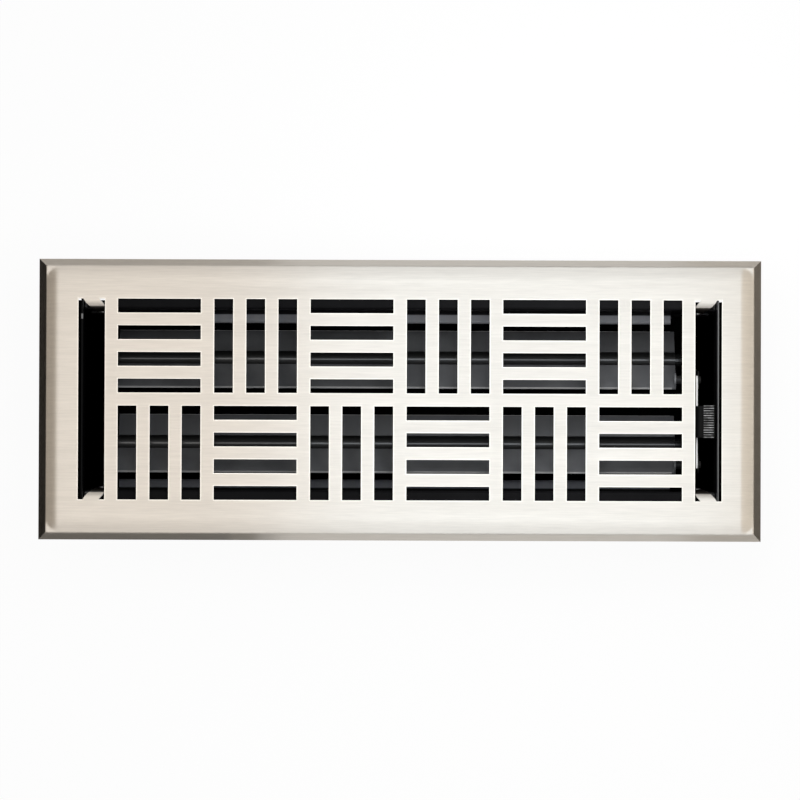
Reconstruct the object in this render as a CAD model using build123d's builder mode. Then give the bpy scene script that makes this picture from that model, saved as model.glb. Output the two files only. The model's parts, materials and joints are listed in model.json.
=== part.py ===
"""Floor register for a 4 by 12 inch duct.

A pierced steel faceplate carries a damper box with two parallel blades. The blades turn together:
a link bar with a thumb grip joins their cranks, and the grip stands in one of the end slots.
The origin is the middle of the box's bottom rim, +X runs to the grip, +Z up to the face.
"""
import os
from math import atan2, cos, degrees, hypot, radians, sin

from build123d import *

os.makedirs("parts", exist_ok=True)

# Sheet thicknesses
plate_sheet = 1.2
box_sheet = 0.8
blade_sheet = 0.8
bracket_sheet = 1.0
link_sheet = 1.2

# Faceplate: a flat field, a soft shoulder and a steep rim that stands on the floor
end_border = 18.75
side_border = 18.975
rim_run = 3.2
rim_drop = 4.3
shoulder_run = 5.0
shoulder_drop = 0.5

# Basketweave grille: blocks with lengthwise and crosswise slots by turns
columns = 6
rows = 2
block_length = 39.3
block_width = 44.6
column_bar = 6.4
row_bar = 6.2
lengthwise_slots = 4
lengthwise_bar = 6.05
crosswise_slots = 3
crosswise_bar = 6.3

# End slots and the tabs bent down from their ends
end_strip = 6.2
end_slot_width = 12.6
tab_edge = 2.3
tab_root = 7.6
tab_lean = 6.2
tab_tip = 5.8
tab_bulge = 0.9
tab_setback = 4.65
tab_rivet_edge = 4.75
tab_rivet_margin = 4.5

# Damper box
box_height = 52.8
flange_width = 5.7
fold_radius = 1.0
tab_relief = 1.0
hem_height = 5.0
end_wall_setback = 1.3
end_wall_margin = 0.15
end_wall_gap = 1.5
end_fold_width = 5.2
end_fold_bottom = 4.0
end_fold_top = 42.0
stop_reach = 5.8
stop_height = 6.0
stop_gap_left = 2.6
stop_gap_right = 7.5
stop_lap = 0.4
stop_radius = 1.6

# Pivot brackets
bracket_setback = 2.6
bracket_floor_gap = 6.0
bracket_top_gap = 2.8
bracket_fold_width = 10.0
bracket_fold_height = 17.0

# Blades on their rods
pivot_drop = 25.8
blade_tilt = 47.3
blade_wall_gap = 2.2
blade_lap = 1.1
blade_gap_left = 2.2
blade_gap_right = 5.2
rod_diameter = 6.2
rod_reach = 1.9
clip_sheet = 0.5
clip_width = 2.6
clip_play = 0.15

# Cranks, on ears at the blades' ends
crank_reach = 17.9
crank_rise = 3.2
ear_radius = 3.2
ear_root = 8.2
crank_pin = 4.0
crank_neck = 3.2
crank_tail = 0.9
close_turn = 43.3
open_turn = 40.7
turn_margin = 2.0

# Link bar and thumb grip
link_gap = 2.9
link_radius = 4.5
link_play = 0.05
thumb_width = 15.0
thumb_bend = 1.2
thumb_drop = 1.5
grip_width = 16.0
grip_start = 3.5
grip_length = 5.8
grip_wall = 1.0
grip_sink = 0.3
grip_ribs = 14
grip_rib_height = 0.5
grip_rib_share = 0.55
grip_nose = 1.1

# Rivets and fits
rivet_shank = 2.8
rivet_head = 4.6
rivet_height = 0.9
running_clearance = 0.05
pin_clearance = 0.6

# Heights and half sizes that follow
pattern_length = columns * block_length + (columns - 1) * column_bar
pattern_width = rows * block_width + (rows - 1) * row_bar
end_slot_inner = pattern_length / 2 + end_strip
end_slot_outer = end_slot_inner + end_slot_width
plate_length = 2 * (end_slot_outer + end_border)
plate_width = pattern_width + 2 * side_border
plate_top = box_height + plate_sheet
pivot_height = box_height - pivot_drop
wall_inner = pattern_width / 2 - tab_setback
wall_outer = wall_inner + box_sheet
end_wall_inner = end_slot_outer - end_wall_setback - box_sheet
bracket_inner = pattern_length / 2 + bracket_setback
bracket_outer = bracket_inner + bracket_sheet
bracket_top = box_height - bracket_top_gap
blade_width = wall_inner - blade_wall_gap + blade_lap / 2
pivot_spacing = blade_width - blade_lap
pivot_offset = pivot_spacing / 2

# Tabs: the outside of the bend is tangent to the face, its inside to the box wall
tab_radius = tab_setback + plate_sheet / 2
tab_root_outer = end_slot_outer - tab_edge
tab_root_inner = tab_root_outer - tab_root
tab_tip_outer = tab_root_outer - tab_lean
tab_tip_inner = tab_tip_outer - tab_tip
relief_x = tab_tip_inner - tab_relief
relief_top = plate_top - tab_setback - plate_sheet - box_sheet / 2
tab_rivet_x = (tab_tip_outer + tab_tip_inner) / 2
tab_rivet_z = relief_top - tab_rivet_edge
tab_bottom = tab_rivet_z - tab_rivet_margin

# Crank and link places at rest
tilt_cos = cos(radians(blade_tilt))
tilt_sin = sin(radians(blade_tilt))
crank_y = crank_rise * tilt_sin - crank_reach * tilt_cos
crank_z = crank_rise * tilt_cos + crank_reach * tilt_sin
crank_radius = hypot(crank_y, crank_z)
crank_angle = degrees(atan2(crank_z, crank_y))
blade_right = bracket_inner - blade_gap_right
blade_left = bracket_inner - blade_gap_left
link_inner = bracket_outer + link_gap
link_outer = link_inner + link_sheet
link_height = pivot_height + crank_z


def save(piece, name):
    """Labels a finished piece and writes it."""
    piece.part.label = name
    export_step(piece.part, f"parts/{name}.step")


def blade_plane(pivot_y, x):
    """Section plane of a blade at rest: its own x across the blade, its y off the upper side."""
    return Plane(
        origin=(x, pivot_y, pivot_height),
        x_dir=(0, -tilt_cos, tilt_sin),
        z_dir=(-1, 0, 0),
    )


def rivet(plane, grip):
    """One rivet: a low head, and a shank set flush with the far side of the two sheets."""
    with BuildPart() as one:
        with BuildSketch(plane):
            Circle(rivet_shank / 2)
        extrude(amount=grip)
        with BuildSketch(plane):
            Circle(rivet_head / 2)
        extrude(amount=-rivet_height)
    return one.part


def push_nut(x, way, y, z, bore):
    """Spring ring that grips the end of a rod or pin, seen along X."""
    with BuildPart() as nut:
        with BuildSketch(Plane.YZ.offset(x)):
            with Locations((y, z)):
                Circle(bore / 2 + clip_width)
                Circle(bore / 2, mode=Mode.SUBTRACT)
        extrude(amount=way * clip_sheet)
    return nut.part


def shell_block(shrink, drop):
    """Outer form of the faceplate, or its hollow when shrunk by the sheet."""
    base = plate_top - rim_drop - shoulder_drop
    levels = (
        (0, base),
        (rim_run, plate_top - shoulder_drop - drop),
        (rim_run + shoulder_run, plate_top - drop),
    )
    with BuildPart() as block:
        for inset, level in levels:
            with BuildSketch(Plane.XY.offset(level)):
                Rectangle(plate_length - 2 * (inset + shrink), plate_width - 2 * (inset + shrink))
        loft(ruled=True)
    return block.part


def tab_pair():
    """Tabs at the +Y ends of both end slots: they bend down along the side wall and lean inwards."""
    slot_end = pattern_width / 2
    with BuildPart() as pair:
        with BuildSketch(Plane.YZ.offset(tab_tip_inner)):
            with BuildLine():
                mid_y = wall_inner - plate_sheet / 2
                mid_z = plate_top - plate_sheet / 2
                FilletPolyline(
                    (slot_end + plate_sheet, mid_z),
                    (mid_y, mid_z),
                    (mid_y, tab_bottom),
                    radius=tab_radius,
                )
            trace(line_width=plate_sheet)
        extrude(amount=tab_root_outer - tab_tip_inner)
        with BuildSketch(Plane.XY):
            with BuildLine():
                tip_y = wall_inner - plate_sheet
                back_y = slot_end + plate_sheet
                middle_x = (tab_root_outer + tab_tip_outer) / 2
                middle_y = (slot_end + tip_y) / 2
                ThreePointArc(
                    (tab_root_outer, slot_end),
                    (middle_x + tab_bulge / 2, middle_y - tab_bulge / 2),
                    (tab_tip_outer, tip_y),
                )
                Polyline(
                    (tab_tip_outer, tip_y),
                    (tab_tip_inner, tip_y),
                    (tab_root_inner, slot_end),
                    (tab_root_inner, back_y),
                    (tab_root_outer, back_y),
                    (tab_root_outer, slot_end),
                )
            make_face()
        extrude(amount=plate_top, mode=Mode.INTERSECT)
        with BuildSketch(Plane.XZ.offset(-slot_end)):
            with Locations((tab_rivet_x, tab_rivet_z)):
                Circle(rivet_shank / 2)
        extrude(amount=tab_setback + plate_sheet, mode=Mode.SUBTRACT)
        mirror(about=Plane.YZ)
    return pair.part


# Faceplate, stamped from one sheet
slope = hypot(rim_run, rim_drop)
outer_form = shell_block(0, 0)
inner_form = shell_block(plate_sheet * slope / rim_drop, plate_sheet)
tabs = tab_pair()
lengthwise_slot = (block_width - (lengthwise_slots - 1) * lengthwise_bar) / lengthwise_slots
crosswise_slot = (block_length - (crosswise_slots - 1) * crosswise_bar) / crosswise_slots

with BuildPart() as faceplate:
    add(outer_form)
    add(inner_form, mode=Mode.SUBTRACT)
    with BuildSketch(Plane.XY.offset(plate_top)):
        for column in range(columns):
            for row in range(rows):
                block_x = (column - (columns - 1) / 2) * (block_length + column_bar)
                block_y = (row - (rows - 1) / 2) * (block_width + row_bar)
                with Locations((block_x, block_y)):
                    if (column + row) % 2:
                        with GridLocations(0, lengthwise_slot + lengthwise_bar, 1, lengthwise_slots):
                            Rectangle(block_length, lengthwise_slot)
                    else:
                        with GridLocations(crosswise_slot + crosswise_bar, 0, crosswise_slots, 1):
                            Rectangle(crosswise_slot, block_width)
        with GridLocations(end_slot_inner + end_slot_outer, 0, 2, 1):
            Rectangle(end_slot_width, pattern_width)
    extrude(amount=-plate_sheet, mode=Mode.SUBTRACT)
    add(tabs)
    mirror(tabs, about=Plane.XZ)
save(faceplate, "faceplate")


def side_wall(side, stop_bottom):
    """Long wall of the box: top flange, hemmed bottom, welding folds at its ends, pressed blade stop."""
    middle = wall_inner + box_sheet / 2
    end_middle = end_wall_inner - box_sheet / 2
    fold_start = end_middle - fold_radius - box_sheet
    stop_length = 2 * bracket_inner - stop_gap_left - stop_gap_right
    stop_middle = (stop_gap_left - stop_gap_right) / 2
    with BuildPart() as wall:
        with BuildSketch(Plane.YZ.offset(-relief_x)):
            with BuildLine():
                flange_z = box_height - box_sheet / 2
                FilletPolyline(
                    (side * (wall_outer + flange_width), flange_z),
                    (side * middle, flange_z),
                    (side * middle, 0),
                    radius=fold_radius,
                )
            trace(line_width=box_sheet)
        extrude(amount=2 * relief_x)
        with BuildSketch(Plane.XZ.offset(-side * wall_inner)):
            with Locations((0, relief_top / 2)):
                Rectangle(2 * fold_start, relief_top)
        extrude(amount=-side * box_sheet)
        with BuildSketch(Plane.XZ.offset(-side * wall_inner)):
            with Locations((0, hem_height / 2)):
                Rectangle(2 * fold_start, hem_height)
        extrude(amount=side * box_sheet)
        for end in (-1, 1):
            with BuildSketch(Plane.XY.offset(end_fold_bottom)):
                with BuildLine():
                    FilletPolyline(
                        (end * (fold_start - fold_radius), side * middle),
                        (end * end_middle, side * middle),
                        (end * end_middle, side * (wall_outer + end_fold_width)),
                        radius=fold_radius,
                    )
                trace(line_width=box_sheet)
            extrude(amount=end_fold_top - end_fold_bottom)
        with BuildSketch(Plane.XY.offset(stop_bottom)):
            with Locations((stop_middle, side * (wall_outer - (stop_reach + box_sheet) / 2))):
                Rectangle(stop_length, stop_reach + box_sheet)
        extrude(amount=stop_height)
        nose = wall.edges().filter_by(Axis.X).sort_by(lambda edge: abs(edge.center().Y))[:2]
        fillet(nose, stop_radius)
        hollow = stop_height - 2 * box_sheet
        with BuildSketch(Plane.XY.offset(stop_bottom + box_sheet)):
            with Locations((stop_middle, side * (wall_outer - stop_reach / 2))):
                Rectangle(stop_length - 2 * box_sheet, stop_reach)
        extrude(amount=hollow, mode=Mode.SUBTRACT)
        with BuildSketch(Plane.XZ.offset(-side * wall_outer)):
            with Locations((-tab_rivet_x, tab_rivet_z), (tab_rivet_x, tab_rivet_z)):
                Circle(rivet_shank / 2)
        extrude(amount=side * box_sheet, mode=Mode.SUBTRACT)
    return wall


side_wall_rear = side_wall(1, pivot_height - stop_lap)
save(side_wall_rear, "side_wall_rear")
side_wall_front = side_wall(-1, pivot_height + stop_lap - stop_height)
save(side_wall_front, "side_wall_front")


def end_wall(end):
    """Flat wall welded across one end of the box; its upper edge shows in the end slot."""
    height = box_height - end_wall_gap
    half_width = wall_outer + end_fold_width + end_wall_margin
    with BuildPart() as wall:
        with BuildSketch(Plane.YZ.offset(end * end_wall_inner)):
            with Locations((0, height / 2)):
                Rectangle(2 * half_width, height)
        extrude(amount=end * box_sheet)
    return wall


end_wall_left = end_wall(-1)
save(end_wall_left, "end_wall_left")
end_wall_right = end_wall(1)
save(end_wall_right, "end_wall_right")


def bracket(end, slotted):
    """Cross wall with welding folds, which carries the rods; the slotted one lets the crank pins through."""
    height = bracket_top - bracket_floor_gap
    with BuildPart() as wall:
        with BuildSketch(Plane.YZ.offset(end * bracket_inner)):
            with Locations((0, bracket_floor_gap + height / 2)):
                Rectangle(2 * wall_inner, height)
            with Locations((-pivot_offset, pivot_height), (pivot_offset, pivot_height)):
                Circle(rod_diameter / 2 + running_clearance, mode=Mode.SUBTRACT)
        extrude(amount=end * bracket_sheet)
        for side in (-1, 1):
            fold_y = side * (wall_inner - bracket_sheet / 2)
            fold_x = end * (bracket_inner + bracket_sheet / 2)
            with BuildSketch(Plane.XY.offset(bracket_floor_gap)):
                with BuildLine():
                    FilletPolyline(
                        (fold_x, 0),
                        (fold_x, fold_y),
                        (end * (bracket_outer + bracket_fold_width), fold_y),
                        radius=fold_radius,
                    )
                trace(line_width=bracket_sheet)
            extrude(amount=bracket_fold_height)
        if slotted:
            first = crank_angle - open_turn - turn_margin
            sweep_angle = open_turn + close_turn + 2 * turn_margin
            slot_width = crank_pin + 2 * pin_clearance
            with BuildSketch(Plane.YZ.offset(bracket_inner)):
                for pivot_y in (-pivot_offset, pivot_offset):
                    with BuildLine():
                        path = CenterArc((pivot_y, pivot_height), crank_radius, first, sweep_angle)
                    trace(line_width=slot_width)
                    with Locations(path @ 0, path @ 1):
                        Circle(slot_width / 2)
            extrude(amount=bracket_sheet, mode=Mode.SUBTRACT)
    return wall


bracket_left = bracket(-1, False)
save(bracket_left, "bracket_left")
bracket_right = bracket(1, True)
save(bracket_right, "bracket_right")


def blade(pivot_y):
    """Damper blade: a flat sheet with a half-round bead over its rod and a crank ear at one end."""
    bead = rod_diameter / 2 + blade_sheet
    below = bead - blade_sheet / 2
    with BuildPart() as sheet:
        with BuildSketch(blade_plane(pivot_y, blade_right)):
            Rectangle(blade_width, blade_sheet)
            Circle(bead)
            with Locations((0, -blade_sheet / 2 - below / 2)):
                Rectangle(2 * bead, below, mode=Mode.SUBTRACT)
            Circle(rod_diameter / 2, mode=Mode.SUBTRACT)
        extrude(amount=blade_right + blade_left)
        with BuildSketch(blade_plane(pivot_y, blade_right)):
            with Locations((blade_width / 2 - ear_root / 2, 0)):
                Rectangle(ear_root, blade_sheet)
            with Locations((crank_reach, crank_rise)):
                Circle(ear_radius)
            make_hull()
        extrude(amount=blade_sheet)
    return sheet


def rod(pivot_y):
    """Pivot rod: it lies in the blade's bead and turns in both brackets."""
    reach = bracket_outer + rod_reach
    with BuildPart() as bar:
        with BuildSketch(Plane.YZ.offset(-reach)):
            with Locations((pivot_y, pivot_height)):
                Circle(rod_diameter / 2)
        extrude(amount=2 * reach)
    return bar


def rod_clips(pivot_y):
    """Push nuts outside both brackets, which keep the rod from sliding out."""
    start = bracket_outer + clip_play
    with BuildPart() as clips:
        for end in (-1, 1):
            add(push_nut(end * start, end, pivot_y, pivot_height, rod_diameter))
    return clips


def crank_pin_part(pivot_y):
    """Shouldered stud: welded on the blade's ear, it passes the bracket and carries the link bar."""
    seat = (pivot_y + crank_y, link_height)
    shoulder = link_inner - link_play
    tail_end = link_outer + clip_play + clip_sheet + crank_tail
    with BuildPart() as pin:
        with BuildSketch(Plane.YZ.offset(blade_right)):
            with Locations(seat):
                Circle(crank_pin / 2)
        extrude(amount=shoulder - blade_right)
        with BuildSketch(Plane.YZ.offset(shoulder)):
            with Locations(seat):
                Circle(crank_neck / 2)
        extrude(amount=tail_end - shoulder)
    return pin


def crank_clip(pivot_y):
    """Push nut that keeps the link bar on a crank pin."""
    with BuildPart() as clip:
        add(push_nut(link_outer + clip_play, 1, pivot_y + crank_y, link_height, crank_neck))
    return clip


for place, pivot_y in (("rear", pivot_offset), ("front", -pivot_offset)):
    save(blade(pivot_y), f"blade_{place}")
    save(rod(pivot_y), f"rod_{place}")
    save(rod_clips(pivot_y), f"rod_clips_{place}")
    save(crank_pin_part(pivot_y), f"crank_pin_{place}")
    save(crank_clip(pivot_y), f"crank_clip_{place}")

# Link bar: a flat bar between the crank pins, with a tongue bent outwards for the thumb
thumb_top = plate_top - thumb_drop
thumb_middle = link_inner + link_sheet / 2
grip_inner = link_inner + grip_start
grip_outer = grip_inner + grip_length
thumb_end = grip_outer - grip_wall

with BuildPart() as link_bar:
    with BuildSketch(Plane.YZ.offset(link_inner)):
        with Locations((crank_y, link_height)):
            SlotCenterToCenter(pivot_spacing, 2 * link_radius)
            with GridLocations(pivot_spacing, 0, 2, 1):
                Circle(crank_neck / 2 + running_clearance, mode=Mode.SUBTRACT)
    extrude(amount=link_sheet)
    with BuildSketch(Plane.XZ.offset(-crank_y)):
        with BuildLine():
            FilletPolyline(
                (thumb_middle, link_height),
                (thumb_middle, thumb_top - link_sheet / 2),
                (thumb_end, thumb_top - link_sheet / 2),
                radius=thumb_bend + link_sheet / 2,
            )
        trace(line_width=link_sheet)
    extrude(amount=thumb_width / 2, both=True)
save(link_bar, "link_bar")

# Thumb grip: a ribbed cap pushed over the tongue
grip_top = plate_top - grip_sink
grip_crown = grip_top - grip_rib_height
grip_bottom = thumb_top - link_sheet - grip_wall
rib_pitch = grip_width / grip_ribs

with BuildPart() as thumb_grip:
    with BuildSketch(Plane.XZ.offset(-crank_y)):
        with Locations(((grip_inner + grip_outer) / 2, (grip_bottom + grip_crown) / 2)):
            Rectangle(grip_length, grip_crown - grip_bottom)
    extrude(amount=grip_width / 2, both=True)
    with BuildSketch(Plane.XZ.offset(-crank_y)):
        with Locations((grip_inner + grip_length / 2, grip_crown)):
            Rectangle(grip_length, 2 * grip_rib_height)
    extrude(amount=grip_width / 2, both=True)
    fillet(thumb_grip.edges().filter_by(Axis.Y).sort_by(Axis.X)[-2:].sort_by(Axis.Z)[-1], grip_nose)
    with BuildSketch(Plane.YZ.offset(grip_inner)):
        with Locations((crank_y, grip_top)):
            with GridLocations(rib_pitch, 0, grip_ribs - 1, 1):
                Rectangle(rib_pitch * (1 - grip_rib_share), 2 * grip_rib_height)
    extrude(amount=grip_length, mode=Mode.SUBTRACT)
    with BuildSketch(Plane.YZ.offset(grip_inner)):
        with Locations((crank_y, thumb_top - link_sheet / 2)):
            Rectangle(thumb_width, link_sheet)
    extrude(amount=thumb_end - grip_inner, mode=Mode.SUBTRACT)
save(thumb_grip, "thumb_grip")

# Rivets that hold the faceplate's tabs to the side walls
with BuildPart() as tab_rivets:
    for end in (-1, 1):
        for side in (-1, 1):
            start = (end * tab_rivet_x, side * (wall_inner - plate_sheet), tab_rivet_z)
            add(rivet(Plane(origin=start, z_dir=(0, side, 0)), plate_sheet + box_sheet))
save(tab_rivets, "tab_rivets")
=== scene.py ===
"""Floor register in satin nickel: surfaces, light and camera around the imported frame."""
import json
import math

import bmesh
import bpy
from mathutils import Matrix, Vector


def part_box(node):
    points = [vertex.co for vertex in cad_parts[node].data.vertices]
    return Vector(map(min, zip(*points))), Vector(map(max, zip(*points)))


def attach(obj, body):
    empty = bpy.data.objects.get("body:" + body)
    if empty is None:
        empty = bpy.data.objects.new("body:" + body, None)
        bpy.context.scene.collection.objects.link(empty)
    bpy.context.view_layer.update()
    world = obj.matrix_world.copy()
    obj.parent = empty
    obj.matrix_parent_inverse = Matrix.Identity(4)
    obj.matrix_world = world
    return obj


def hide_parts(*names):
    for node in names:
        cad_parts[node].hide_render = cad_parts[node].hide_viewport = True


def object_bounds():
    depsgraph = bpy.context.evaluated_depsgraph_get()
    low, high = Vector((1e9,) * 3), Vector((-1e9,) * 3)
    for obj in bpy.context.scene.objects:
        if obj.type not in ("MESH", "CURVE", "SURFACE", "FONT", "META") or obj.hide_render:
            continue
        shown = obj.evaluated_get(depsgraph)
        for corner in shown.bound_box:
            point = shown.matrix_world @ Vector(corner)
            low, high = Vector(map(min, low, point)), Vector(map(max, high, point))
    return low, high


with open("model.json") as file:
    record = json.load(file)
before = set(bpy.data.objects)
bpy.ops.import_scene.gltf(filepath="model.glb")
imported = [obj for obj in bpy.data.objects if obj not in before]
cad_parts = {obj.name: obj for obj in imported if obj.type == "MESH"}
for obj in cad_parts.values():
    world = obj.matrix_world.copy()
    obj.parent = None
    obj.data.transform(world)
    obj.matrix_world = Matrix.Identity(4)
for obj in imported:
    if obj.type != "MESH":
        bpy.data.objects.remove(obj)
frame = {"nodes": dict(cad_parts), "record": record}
cad_low, cad_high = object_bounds()
nodes = frame["nodes"]

MM = 0.001

# Faceplate sheet and edge profile, in millimetres and degrees
PLATE_SHEET = 1.2
PLATE_DROP = 4.8
RIM_SLOPE = 53.0
BEND_RADIUS = 1.4
BEND_STEPS = 5
SHOULDER_RUN = 6.6
SHOULDER_SLOPE = 8.0
SHOULDER_BLEND = 0.6
SHOULDER_STEPS = 10
GRID_DIGITS = 4
GRID_TOLERANCE = 0.001

# Rounding of sharp edges, and the share of it that each kind of edge of the plate takes
SHARP_ANGLE = 32.0
EDGE_ROUNDING = 0.08
EDGE_STEPS = 3
FACE_SHARE = 1.0
UNDERSIDE_SHARE = 0.35
RIM_FOOT_SHARE = 0.2
RIM_MARGIN = 5.0
SMALL_ROUNDING = 0.05
SMALL_STEPS = 1

# The plate's two finishes, by material index, and the burnished width round a slot
SATIN = 0
BURNISHED = 1
EDGE_BURNISH = 0.36

# Basketweave grille
COLUMNS = 6
ROWS = 2
BLOCK_LENGTH = 39.3
BLOCK_WIDTH = 44.6
COLUMN_BAR = 6.4
ROW_BAR = 6.2
LENGTHWISE_SLOTS = 4
LENGTHWISE_BAR = 6.05
CROSSWISE_SLOTS = 3
CROSSWISE_BAR = 6.3

# End slots and their tabs
END_STRIP = 6.2
END_SLOT_WIDTH = 12.6
TAB_EDGE = 2.3
TAB_ROOT = 7.6
TAB_LEAN = 6.2
TAB_TIP = 5.8
TAB_BULGE = 0.9
TAB_SETBACK = 4.65
TAB_CROSS_STEPS = 6
TAB_BEND_STEPS = 10
TAB_DROP_STEPS = 3
TAB_SATIN_STEPS = 4
# Depth below the face over which burnished nickel darkens: painted shade
TAB_SHADE_FADE = 1.7

# Rivet heads on the tabs, and the box sheet that they hold
RIVET_HEAD = 4.6
RIVET_HEIGHT = 0.9
RIVET_SHANK = 2.8
RIVET_SIDES = 32
RIVET_DOME_STEPS = 6
BOX_SHEET = 0.8

# Thumb grip: the valleys and worn crests are shares of a rib
GRIP_RIBS = 14
GRIP_RIB = 0.6
GRIP_RIB_STEPS = 12
GRIP_LENGTH_STEPS = 24
GRIP_NOSE = 1.1
GRIP_SOFT = 0.5
RIB_VALLEY = 0.12
RIB_CREST = 0.3
RIB_CREST_FADE = 0.25
RIB_HEADROOM = 1.0

# Blades' axes
PIVOT_Y = 20.15
PIVOT_Z = 27.0

# Noise: the levels at which shades and roughness reach their limits
NOISE_LOW = 0.3
NOISE_MIDDLE = 0.5
NOISE_HIGH = 0.7
NOISE_ROUGHNESS = 0.6

# Metals: colour, darkest and lightest shade of it, range of roughness, and noise
NICKEL = (0.69, 0.64, 0.575)
NICKEL_ROUGHNESS = (0.35, 0.38)
NICKEL_SHADES = (0.95, 1.05)
NICKEL_ANISOTROPY = 0.98
STREAK_SCALE = (70.0, 1300.0, 1300.0)
STREAK_DETAIL = 4.0
STREAK_DEPTH = 0.02
STREAK_STRENGTH = 0.2
BAND_SCALE = (6.0, 260.0, 260.0)
BAND_DETAIL = 2.0
PRESSED_NICKEL = (0.7, 0.66, 0.6)
PRESSED_ROUGHNESS = (0.28, 0.36)
PRESSED_SHADES = (0.92, 1.06)
PRESSED_SCALE = (350.0, 350.0, 350.0)
PRESSED_DETAIL = 3.0
ZINC = (0.62, 0.62, 0.63)
ZINC_ROUGHNESS = (0.24, 0.36)
ZINC_SHADES = (0.85, 1.1)
ZINC_SCALE = (60.0, 1500.0, 1500.0)
ZINC_DETAIL = 3.0

# Paints and plastic: colour, roughness and specular level
BOX_PAINT = ((0.012, 0.012, 0.013), 0.45, 0.1)
# Side walls darker than the box: painted shade
WALL_SHADED_PAINT = ((0.005, 0.005, 0.0055), 0.45, 0.02)
RIGHT_END_PAINT = ((0.012, 0.012, 0.013), 0.45, 0.08)
# Left end wall darker than the right: painted shade
LEFT_END_SHADED_PAINT = ((0.005, 0.005, 0.005), 0.6, 0.03)
BLADE_PAINT = ((0.085, 0.087, 0.091), 0.45, 0.5)
ROD_PAINT = ((0.006, 0.006, 0.006), 0.2, 0.4)
LINK_PAINT = ((0.004, 0.004, 0.004), 0.45, 0.03)
DARK_STEEL = ((0.012, 0.012, 0.012), 0.45, 0.2)
GRIP_PLASTIC = ((0.005, 0.005, 0.005), 0.42, 0.05)
PAINT_ROUGHNESS_RANGE = 0.05
MOTTLE_SHADES = (0.8, 1.25)
MOTTLE_SCALE = (45.0, 45.0, 45.0)
MOTTLE_DETAIL = 4.0
PEEL_SCALE = (900.0, 900.0, 900.0)
PEEL_DETAIL = 2.0
PEEL_DEPTH = 0.03
PEEL_STRENGTH = 0.4
WEAR_SCALE = (330.0, 520.0, 330.0)
WEAR_DETAIL = 2.0
WEAR_RANGE = (0.1, 1.0)

# Places with another look, most of them painted light or shade: colour and roughness
# Painted shade on burnished nickel below the face, most on the tabs' bends
TAB_PAINTED_SHADE = ((0.05, 0.045, 0.04), 0.42)
# Stops lighter and bluish: worn by the blades and partly a painted highlight
STOP_WEAR_AND_HIGHLIGHT = ((0.13, 0.135, 0.15), 0.35)
# Rear stop lighter still: painted light
REAR_STOP_PAINTED_LIGHT = ((0.2, 0.205, 0.22), 0.35)
# Stops' noses lightest: painted highlight
NOSE_PAINTED_HIGHLIGHT = ((0.3, 0.3, 0.32), 0.35)
# Painted highlight on the outside of the right end wall's top edge
RIGHT_END_PAINTED_HIGHLIGHT = ((0.11, 0.11, 0.11), 0.4)
# Painted glint on the left end wall's top edge
LEFT_END_PAINTED_GLINT = ((0.2, 0.2, 0.2), 0.4)
# Lower half of the front blade lighter: painted light
FRONT_BLADE_PAINTED_LIGHT = ((0.13, 0.133, 0.139), 0.45)
# Painted highlight on the blades' cut edges
CUT_EDGE_PAINTED_HIGHLIGHT = ((0.34, 0.34, 0.34), 0.4)
# Painted highlight along the blades' folds
FOLD_PAINTED_HIGHLIGHT = ((0.35, 0.35, 0.36), 0.4)
# Bead darkened: painted shade, with a matt finish
MATT_BEAD_PAINTED_SHADE = ((0.004, 0.004, 0.004), 0.5)
GLOSSY_CREST = ((0.05, 0.05, 0.05), 0.1)
# Link bar's top edge: wear and partly a painted highlight
LINK_EDGE_WEAR_AND_HIGHLIGHT = ((0.9, 0.9, 0.9), 0.3)
# Rib crests lighter: thumb wear and partly a painted highlight
RIB_WEAR_AND_HIGHLIGHT = ((0.26, 0.26, 0.26), 0.35)

# Limits of those places, in millimetres from the part's origin or, for rings, from a blade's axis
STOP_HEIGHTS = (18.0, 36.0)
STOP_HEIGHT_FADE = 1.0
STOP_INSIDE = 41.5
STOP_SIDE_FADE = 0.6
REAR_STOP_START = 20.0
NOSE_INSIDE = 37.1
END_WALL_TOP = (51.1, 60.0)
RIGHT_END_OUTSIDE = (150.9, 160.0)
LEFT_GLINT_WIDTH = (38.0, 40.8)
LEFT_GLINT_FADE = 0.4
FRONT_SIDE = (-60.0, 0.0)
CUT_RING = (20.3, 20.4)
CUT_LENGTH = (-140.0, 129.5)
CUT_LENGTH_FADE = 0.3
FOLD_RING = (4.8, 4.7)
BEAD_RING = (4.1, 4.0)
CREST_RING = (4.2, 4.1)
CREST_RISE = (3.87, 5.0)
CREST_FADE = 0.02
LINK_TOP = (46.4, 47.1)
LINK_EDGE_WIDTH = (0.3, 1.2)
SOFT_FADE = 0.2
THIN_FADE = 0.1

# Photograph's frame: the face spans this many pixels of its 800
PICTURE_PIXELS = 800
FACE_PIXELS = 722.8
FACE_MIDDLE_PIXEL = (399.9, 399.9)
CAMERA_DISTANCE = 4.0
CAMERA_LEAN = 1.8
CAMERA_ROLL = 0.2
CAMERA_FAR = 50.0
SENSOR_WIDTH = 36.0

# White floor, in metres, and how much of its white stays in the object's shadow
FLOOR_HALF = 12.0
FLOOR_DROP = 0.0002
FLOOR_WHITE_SHARE = 0.95
PAPER = (0.85, 0.85, 0.85)

# Dark sheets below, a painted shade standing for the unlit duct, in millimetres
DUCT_HALF_WIDTH = 43.0
DUCT_PAST_END = 3.5
DUCT_END_STRIP = 16.0
DUCT_DROP = 0.1
SHADE_SHEET_SCALE = (300.0, 300.0, 300.0)
SHADE_SHEET_DETAIL = 3.0
SHADE_SHEET_DARK = (0.001, 0.001, 0.001)
SHADE_SHEET_LIGHT = (0.003, 0.003, 0.003)

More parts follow.
